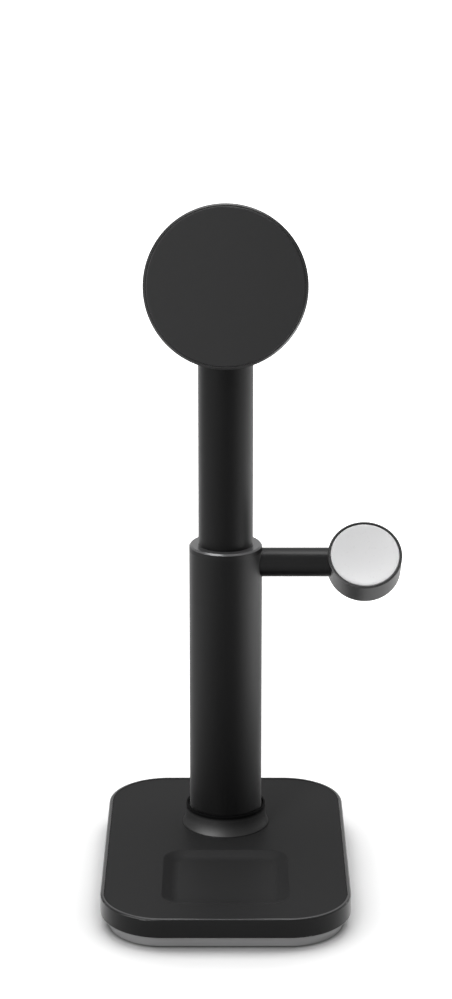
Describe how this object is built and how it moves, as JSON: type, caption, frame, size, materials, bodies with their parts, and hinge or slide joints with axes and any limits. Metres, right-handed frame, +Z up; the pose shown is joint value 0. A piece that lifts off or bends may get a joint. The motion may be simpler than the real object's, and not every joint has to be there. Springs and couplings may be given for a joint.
{
  "type": "wireless charger",
  "caption": "Free-standing wireless charger: rounded base with an earbuds rest, telescoping round column, side arm with a watch puck, and a phone head that tilts and turns.",
  "frame": {"origin": "middle of the base's underside, on the surface that the stand rests on", "axes": "+Z up along the column, -Y to the front that the user faces, +X to the side of the watch arm"},
  "size_m": [0.11, 0.1274, 0.2538],
  "materials": {
    "shell_black": "fine satin, moulded",
    "top_soft": "soft-touch, very fine grain",
    "skirt_grey": "matt grey, moulded",
    "grip_rubber": "matt rubber",
    "weight_steel": "zinc plated",
    "copper_wire": "enamelled winding",
    "ferrite": "sintered",
    "board_green": "solder mask",
    "inlet_metal": "nickel plated",
    "tube_black": "black anodised, satin",
    "bush_black": "satin, moulded",
    "lead_black": "smooth sleeve",
    "pin_steel": "ground",
    "washer_black": "waxy",
    "puck_black": "fine satin, moulded",
    "disc_white": "smooth, soft gloss",
    "magnet_nickel": "nickel plated",
    "head_black": "fine satin, moulded",
    "face_soft": "soft, matt"
  },
  "bodies": {
    "base": {"base_shell": "shell_black", "base_top_pad": "top_soft", "base_bottom_cover": "skirt_grey", "anti_slip_pad": "grip_rubber", "ballast_plate": "weight_steel", "earbud_coil": "copper_wire", "earbud_shield": "ferrite", "main_board": "board_green", "inlet_socket": "inlet_metal", "base_screws": "weight_steel", "board_screws": "weight_steel", "foot_collar": "tube_black", "outer_tube": "tube_black", "tube_plug": "weight_steel", "plug_screws": "weight_steel", "guide_bush": "bush_black", "column_lead": "lead_black", "watch_arm": "tube_black", "watch_cup": "puck_black", "watch_disc": "disc_white", "watch_coil": "copper_wire", "watch_core": "ferrite", "watch_magnet": "magnet_nickel"},
    "mast": {"inner_tube": "tube_black", "glide_ring": "washer_black", "hinge_fork": "tube_black", "hinge_pin": "pin_steel", "friction_washers": "washer_black"},
    "head": {"head_back": "head_black", "hub_washer": "weight_steel", "hub_screws": "weight_steel"},
    "face": {"face_cup": "head_black", "magnet_ring": "magnet_nickel", "phone_shield": "ferrite", "phone_coil": "copper_wire", "face_disc": "face_soft"}
  },
  "joints": [
    {"name": "column_slide", "type": "slide", "parent": "base", "child": "mast", "axis": [0, 0, 1], "range_m": [-0.08, 0], "deforming": ["column_lead"]},
    {"name": "head_tilt", "type": "hinge", "parent": "mast", "child": "head", "pos_m": [0, 0.022, 0.2195], "axis": [-1, 0, 0], "range_deg": [-13, 47]},
    {"name": "head_turn", "type": "hinge", "parent": "head", "child": "face", "pos_m": [0, 0.022, 0.2195], "axis": [0, -0.9744, 0.225], "range_deg": [-90, 90]}
  ]
}
